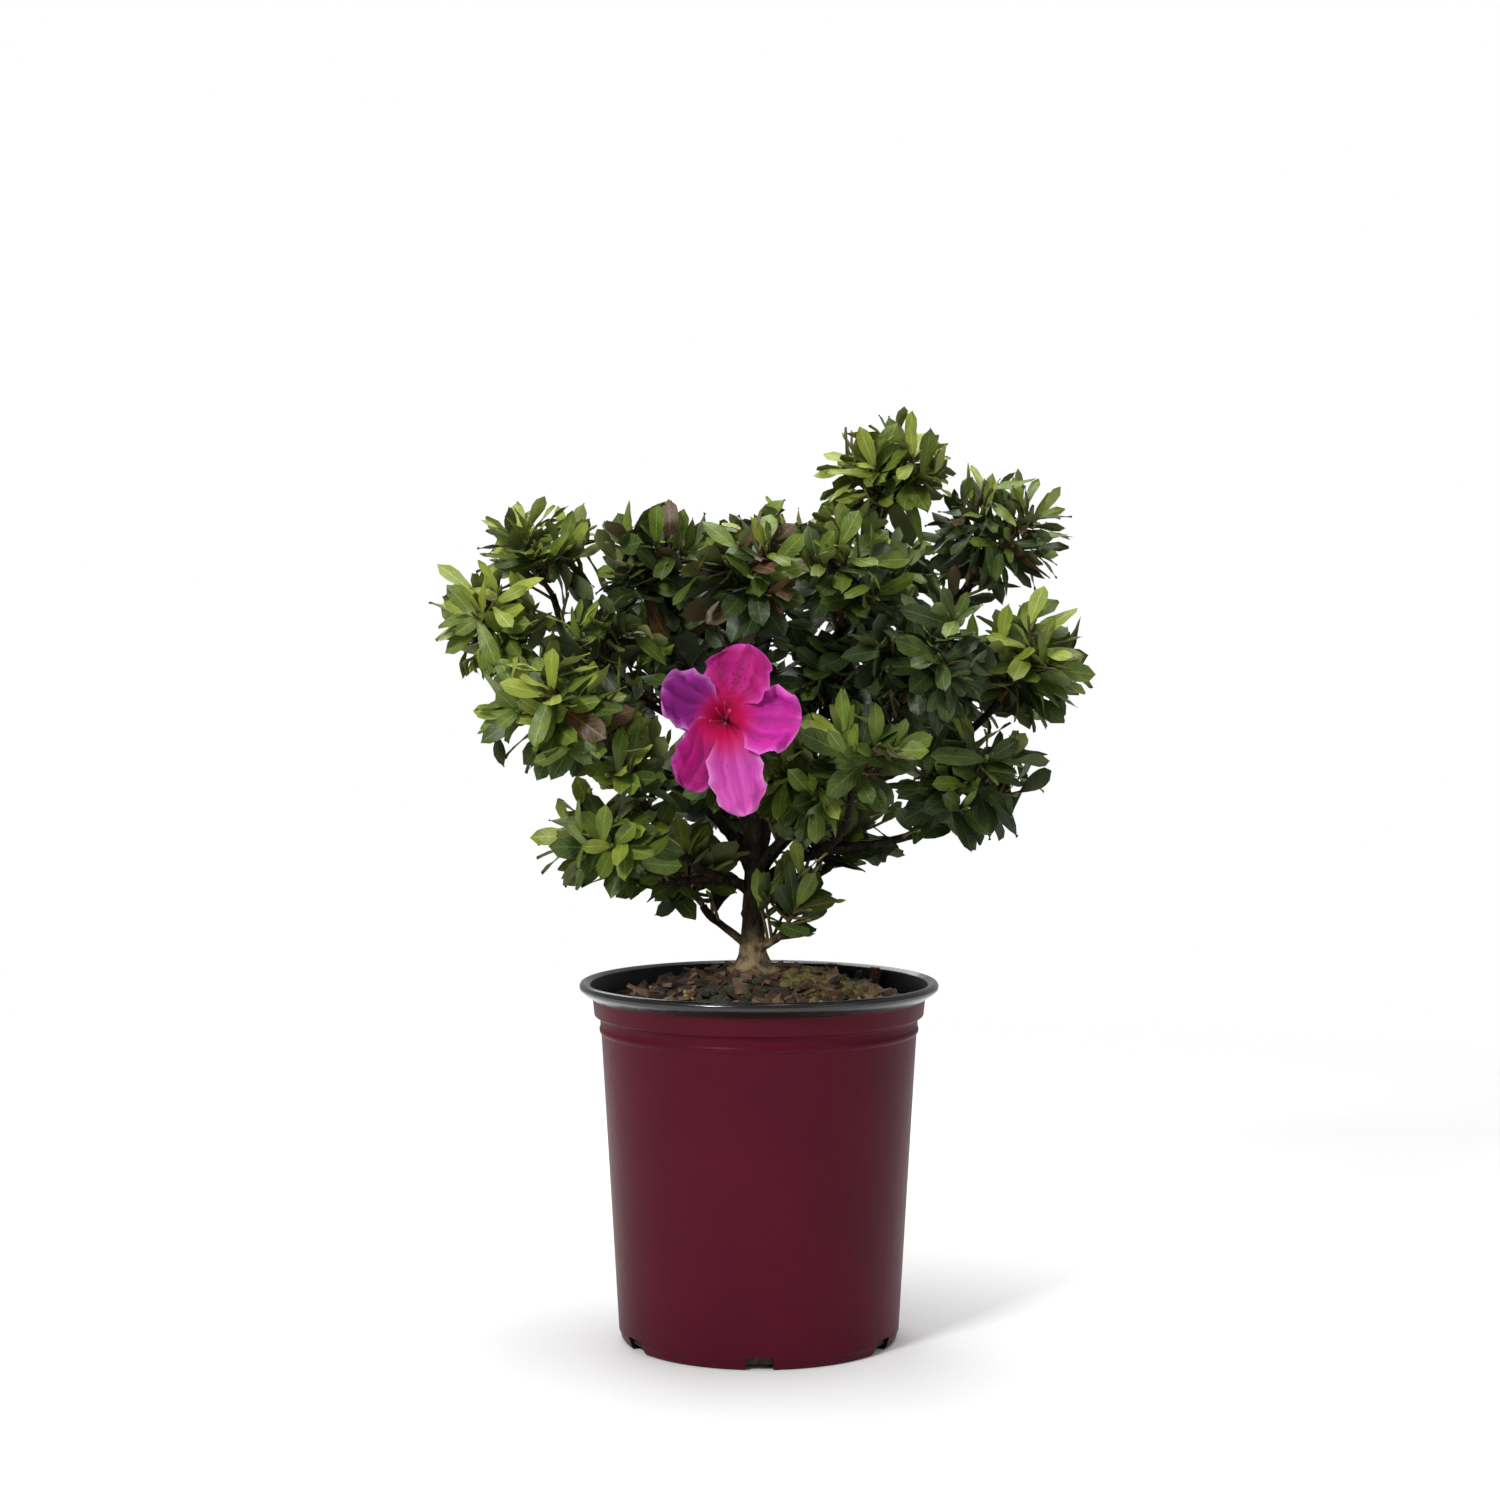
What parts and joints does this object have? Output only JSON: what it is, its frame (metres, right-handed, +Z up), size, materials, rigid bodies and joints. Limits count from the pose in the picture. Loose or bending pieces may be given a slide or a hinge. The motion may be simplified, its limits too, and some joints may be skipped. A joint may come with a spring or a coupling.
{
  "type": "potted azalea shrub",
  "caption": "Azalea shrub in a tapered nursery pot: a short trunk forks into rising boughs that carry leafy sprays round an open bloom.",
  "frame": {"origin": "centre of the pot's flat underside", "axes": "+Z up through the plant, -Y towards the side with the open bloom, +X to the right as seen from that side"},
  "size_m": [0.3902, 0.2883, 0.5595],
  "materials": {
    "pot": "moulded plastic, low sheen",
    "potting_mix": "loose and rough",
    "bark": "finely furrowed bark",
    "foliage": "soft sheen",
    "blossom": "matt petals"
  },
  "bodies": {
    "root": {"pot": "pot", "potting_mix": "potting_mix", "trunk": "bark", "bough_centre_top": "bark", "bough_spire": "bark", "bough_left_tip": "bark", "bough_right_tip": "bark", "bough_centre_left_top": "bark", "bough_centre_back": "bark", "bough_right_low": "bark", "bough_left_low": "bark", "bough_front_right": "bark", "bough_low_right": "bark", "bough_low_stem_right": "bark", "bough_low_stem_left": "bark", "bough_left_top": "bark", "bough_left_mid": "bark", "bough_left_back": "bark", "bough_left_inner": "bark", "bough_left_front_low": "bark", "bough_centre_left_back": "bark", "bough_centre_top_back": "bark", "bough_right_top": "bark", "bough_right_top_inner": "bark", "bough_right_back_top": "bark", "bough_right_centre": "bark", "bough_centre_right": "bark", "bough_right_back": "bark", "bough_right_front_low": "bark", "bough_low_back": "bark", "bough_blossom": "bark", "spray_centre_top": "foliage", "spray_spire": "foliage", "spray_left_tip": "foliage", "spray_right_tip": "foliage", "spray_centre_left_top": "foliage", "spray_centre_back": "foliage", "spray_right_low": "foliage", "spray_left_low": "foliage", "spray_front_right": "foliage", "spray_low_right": "foliage", "spray_low_stem_right": "foliage", "spray_low_stem_left": "foliage", "spray_left_top": "foliage", "spray_left_mid": "foliage", "spray_left_back": "foliage", "spray_left_inner": "foliage", "spray_left_front_low": "foliage", "spray_centre_left_back": "foliage", "spray_centre_top_back": "foliage", "spray_right_top": "foliage", "spray_right_top_inner": "foliage", "spray_right_back_top": "foliage", "spray_right_centre": "foliage", "spray_centre_right": "foliage", "spray_right_back": "foliage", "spray_right_front_low": "foliage", "spray_low_back": "foliage", "spray_blossom": "blossom"}
  },
  "joints": []
}
